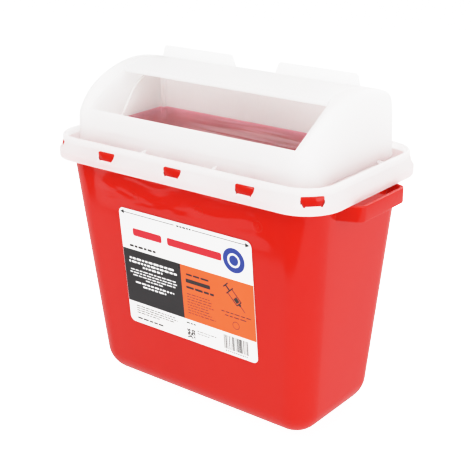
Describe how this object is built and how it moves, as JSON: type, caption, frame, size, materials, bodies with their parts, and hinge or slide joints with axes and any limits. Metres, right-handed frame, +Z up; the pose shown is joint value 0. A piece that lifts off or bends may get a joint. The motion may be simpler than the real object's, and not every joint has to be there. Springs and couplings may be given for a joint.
{
  "type": "sharps container",
  "caption": "Tapered red plastic bin with carrying loops and a latching translucent lid whose hooded slanted opening holds a tilting drop tray under a fold-over closure flap.",
  "frame": {"origin": "centre of the footprint, on the table plane under the flat bottom", "axes": "+Z up, -Y the front with the label and the slanted opening, +/-X the two carrying loops"},
  "size_m": [0.2912, 0.1584, 0.2834],
  "materials": {
    "red_body": "satin-gloss moulded polypropylene",
    "white_lid": "translucent natural-white polypropylene, satin",
    "clear_tray": "clear to frosted polypropylene, glossy",
    "white_flap": "translucent natural-white polypropylene, satin",
    "label_film": "printed self-adhesive film"
  },
  "bodies": {
    "container": {"container_body": "red_body", "front_label": "label_film"},
    "lid": {"lid_shell": "white_lid"},
    "tray": {"drop_tray": "clear_tray"},
    "flap": {"closure_flap": "white_flap"}
  },
  "joints": [
    {"name": "lid_lift", "type": "slide", "parent": "container", "child": "lid", "axis": [0, 0, 1], "range_m": [0, 0.12]},
    {"name": "tray_tilt", "type": "hinge", "parent": "lid", "child": "tray", "pos_m": [0, 0.004, 0.236], "axis": [-1, 0, 0], "range_deg": [0, 110]},
    {"name": "flap_fold", "type": "hinge", "parent": "lid", "child": "flap", "pos_m": [0, -0.014, 0.2696], "axis": [1, 0, 0], "range_deg": [0, 204]}
  ]
}
